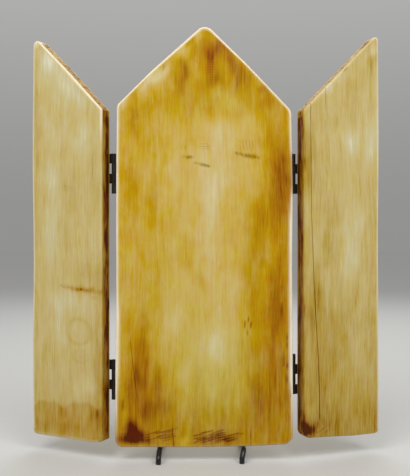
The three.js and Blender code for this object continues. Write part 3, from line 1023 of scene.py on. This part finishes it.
# ---- Metal ----
def black_metal(name, colour, rough_low, rough_high, grit_mm):
    """Black lacquer over steel: an even dark skin whose shine varies with small blemishes."""
    material, tree, shader = new_material(name)
    place = node(tree, "ShaderNodeTexCoord").outputs["Object"]
    mapped = node(tree, "ShaderNodeMapping", {"Vector": place, "Scale": [1 / (grit_mm * MM)] * 3})
    noise = node(tree, "ShaderNodeTexNoise", {"Vector": mapped.outputs[0], "Scale": 1.0, "Detail": 4.0})
    shader.inputs["Base Color"].default_value = linear(colour)
    rough = node(tree, "ShaderNodeMapRange", {
        "Value": noise.outputs["Fac"], "From Min": NOISE_SPAN[0], "From Max": NOISE_SPAN[1],
        "To Min": rough_low, "To Max": rough_high,
    })
    tree.links.new(rough.outputs["Result"], shader.inputs["Roughness"])
    bump = node(tree, "ShaderNodeBump", {
        "Height": noise.outputs["Fac"], "Strength": 0.3, "Distance": 0.0002})
    tree.links.new(bump.outputs["Normal"], shader.inputs["Normal"])
    return material


# ---- Make the pieces ----
golden_wood = stained_wood("golden_stained_pine", GOLDEN, amount=1.0, fine_amount=1.0, seed=1.0)
left_wood = stained_wood("tan_stained_pine_left", TAN, amount=1.1, fine_amount=1.45, seed=14.0)
right_wood = stained_wood("tan_stained_pine_right", TAN, amount=1.15, fine_amount=1.5, seed=27.0)
hinge_metal = black_metal("black_lacquered_steel", "16110f", 0.38, 0.6, 1.2)
rod_metal = black_metal("gloss_black_rod", "0c0c0e", 0.16, 0.34, 2.0)

for name, board, material, body, replaced, slot in (
    ("centre_board", CENTRE, golden_wood, "centre", "central_panel", "golden_stain"),
    ("left_wing_board", LEFT, left_wood, "left", "left_wing", "pale_stain"),
    ("right_wing_board", RIGHT, right_wood, "right", "right_wing", "pale_stain"),
):
    piece = board_mesh(name, board)
    piece.data.materials.append(material)
    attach(piece, body)
    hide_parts(replaced)

for name, part in frame["nodes"].items():
    if "hinge" in name or "cradle" in name:
        metal = rod_metal if "cradle" in name else hinge_metal
        part.data.materials.clear()
        part.data.materials.append(metal)


# ---- Stage ----
SURROUND_LOW = 0.29  # radiance of the surround at the horizon, which meets the floor's far tone
SURROUND_HIGH = 0.50
FLOOR_RADIUS = 14  # metres
LAMP_AIM = (0, 0, 0.3)  # where every lamp points, in metres
LAMPS = (
    # name, place in metres, size in metres, power in watts
    ("key", (-0.75, -1.3, 1.75), 1.2, 21.0),
    ("fill", (0.85, -1.25, 1.7), 1.2, 17.0),
    ("behind", (0.2, 1.5, 1.7), 1.6, 16.0),
)


def surround():
    """A plain pale surround that grows slowly lighter from the horizon upwards."""
    world = bpy.data.worlds.new("pale_surround")
    world.use_nodes = True
    tree = world.node_tree
    up = node(tree, "ShaderNodeSeparateXYZ", {
        0: node(tree, "ShaderNodeTexCoord").outputs["Generated"]}).outputs["Z"]
    strength = node(tree, "ShaderNodeMapRange", {
        "Value": up, "From Min": 0.0, "From Max": 0.5, "To Min": SURROUND_LOW, "To Max": SURROUND_HIGH,
    }, interpolation_type="SMOOTHSTEP").outputs["Result"]
    tree.links.new(strength, tree.nodes["Background"].inputs["Strength"])
    tree.nodes["Background"].inputs["Color"].default_value = (1.0, 0.995, 0.985, 1)
    bpy.context.scene.world = world


def studio():
    """A pale floor, soft lamps high in front and one behind, and a pale surround."""
    bpy.ops.mesh.primitive_circle_add(vertices=96, radius=FLOOR_RADIUS, fill_type="NGON")
    floor = bpy.context.object
    floor.name = "floor"
    material, _, shader = new_material("pale_floor")
    shader.inputs["Base Color"].default_value = linear("c6c6c4")
    shader.inputs["Roughness"].default_value = 0.85
    shader.inputs["Specular IOR Level"].default_value = 0.2
    floor.data.materials.append(material)
    for name, place, size, power in LAMPS:
        data = bpy.data.lights.new(name, "AREA")
        data.size = size
        data.energy = power
        lamp = bpy.data.objects.new(name, data)
        lamp.location = place
        aim = np.array(LAMP_AIM) - np.array(place)
        tilt = math.atan2(math.hypot(aim[0], aim[1]), -aim[2])
        lamp.rotation_euler = (tilt, 0, math.atan2(aim[1], aim[0]) - math.pi / 2)
        bpy.context.scene.collection.objects.link(lamp)
    surround()
    bpy.context.scene.view_settings.view_transform = "Standard"


VIEW_DISTANCE = 910  # from the eye to the centre board's face
EYE_HEIGHT = 277.8
FRAME_HEIGHT_AT_BOARD = 590.2  # what the picture's height takes in at that distance


def camera():
    """Level with the boards' middle, square to the centre board."""
    data = bpy.data.cameras.new("camera")
    data.sensor_width = 36
    data.lens = data.sensor_width * VIEW_DISTANCE / FRAME_HEIGHT_AT_BOARD
    eye = bpy.data.objects.new("camera", data)
    eye.location = np.array([CENTRE_X, FRONT_Y - VIEW_DISTANCE, EYE_HEIGHT]) * MM
    eye.rotation_euler = (math.pi / 2, 0, 0)
    bpy.context.scene.collection.objects.link(eye)
    bpy.context.scene.camera = eye


studio()
camera()
